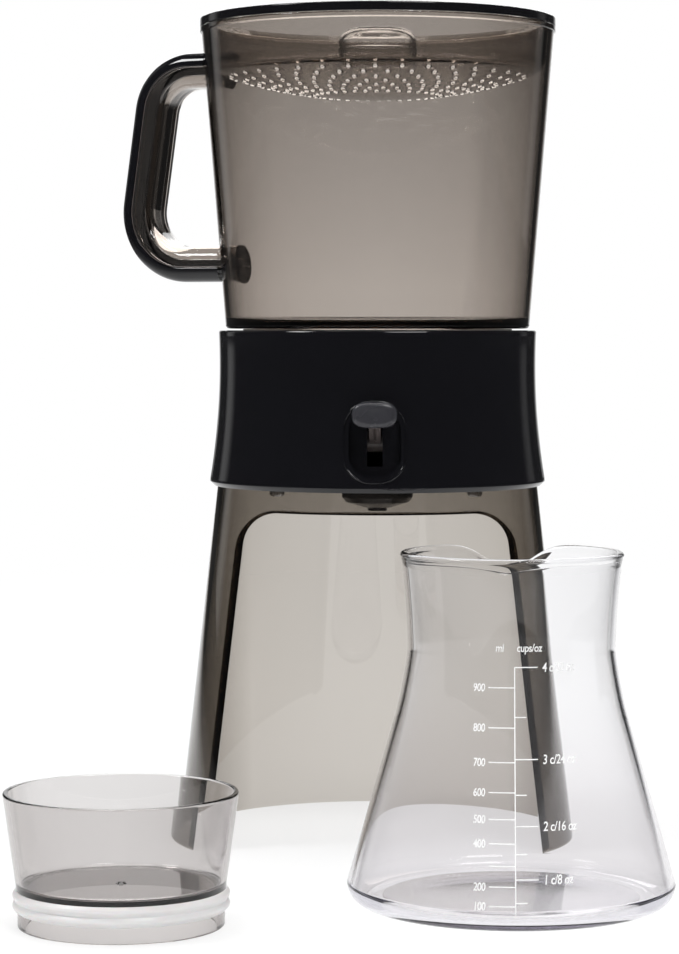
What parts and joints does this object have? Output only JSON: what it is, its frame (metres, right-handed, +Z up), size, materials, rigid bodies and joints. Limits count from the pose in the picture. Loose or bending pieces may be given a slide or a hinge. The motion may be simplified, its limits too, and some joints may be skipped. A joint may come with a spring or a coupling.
{
  "type": "cold brew coffee maker",
  "caption": "Cold brew coffee maker: smoky brewing container with handle and shower lid on a switch collar and open stand, beside a glass carafe and its stopper cup.",
  "frame": {"origin": "on the table, on the upright axis of the stand, collar and brewing container", "axes": "+Z up; -Y is the front, with the brew switch; +X is to the right seen from the front"},
  "size_m": [0.2772, 0.3677, 0.3885],
  "materials": {
    "smoky_clear": "clear grey-brown plastic, polished",
    "smoky_light": "clear pale grey plastic, polished",
    "black_gloss": "black plastic, polished",
    "black_satin": "dark grey plastic, satin",
    "soft_cap": "dark grey soft cap, satin",
    "clear_glass": "clear borosilicate glass",
    "white_silicone": "white silicone, satin",
    "grey_silicone": "grey silicone, satin",
    "steel": "plain stainless steel",
    "steel_mesh": "fine woven stainless mesh"
  },
  "bodies": {
    "stand": {"stand_shell": "smoky_clear", "collar_shell": "black_gloss", "chassis": "black_satin", "collar_screws": "steel", "switch_surround": "black_gloss", "pivot_pin": "steel", "drain_funnel": "black_gloss", "lift_bar_guide": "black_satin", "seat_gasket": "grey_silicone"},
    "brew_switch": {"switch_lever": "black_satin", "switch_paddle": "soft_cap"},
    "bar": {"lift_bar": "steel"},
    "container": {"brewing_container": "smoky_clear", "handle_bar": "smoky_clear", "handle_spine": "black_gloss", "valve_cage": "black_satin", "valve_spring": "steel"},
    "drain_valve": {"drain_poppet": "steel"},
    "filter": {"filter_frame": "black_satin", "filter_mesh": "steel_mesh", "filter_seal": "grey_silicone"},
    "shower_lid": {"lid_rim": "smoky_clear", "lid_skirt": "smoky_clear", "shower_plate": "smoky_clear", "lid_knob": "smoky_clear"},
    "carafe": {"carafe_glass": "clear_glass"},
    "cup": {"stopper_cup": "smoky_light", "stopper_seal": "white_silicone"}
  },
  "joints": [
    {"name": "switch_hinge", "type": "hinge", "parent": "stand", "child": "brew_switch", "pos_m": [0, -0.062, 0.1906], "axis": [1, 0, 0], "range_deg": [0, 50]},
    {"name": "bar_lift", "type": "slide", "parent": "stand", "child": "bar", "axis": [0, 0, 1], "range_m": [0, 0.00727]},
    {"name": "container_lift", "type": "slide", "parent": "stand", "child": "container", "axis": [0, 0, 1], "range_m": [0, 0.12]},
    {"name": "valve_lift", "type": "slide", "parent": "container", "child": "drain_valve", "axis": [0, 0, 1], "range_m": [0, 0.00728], "stiffness_N_per_m": 3, "springref_m": -0.004, "deforming": ["valve_spring"]},
    {"name": "filter_lift", "type": "slide", "parent": "container", "child": "filter", "axis": [0, 0, 1], "range_m": [0, 0.1]},
    {"name": "lid_lift", "type": "slide", "parent": "container", "child": "shower_lid", "axis": [0, 0, 1], "range_m": [0, 0.08]},
    {"name": "carafe_lift", "type": "slide", "parent": "stand", "child": "carafe", "axis": [0, 0, 1], "range_m": [0, 0.15]},
    {"name": "cup_lift", "type": "slide", "parent": "stand", "child": "cup", "axis": [0, 0, 1], "range_m": [0, 0.1]}
  ],
  "couplings": [
    {"joint": "switch_hinge", "follows": "bar_lift", "rad_per_m": 119.96},
    {"joint": "valve_lift", "follows": "bar_lift", "ratio": 1}
  ]
}
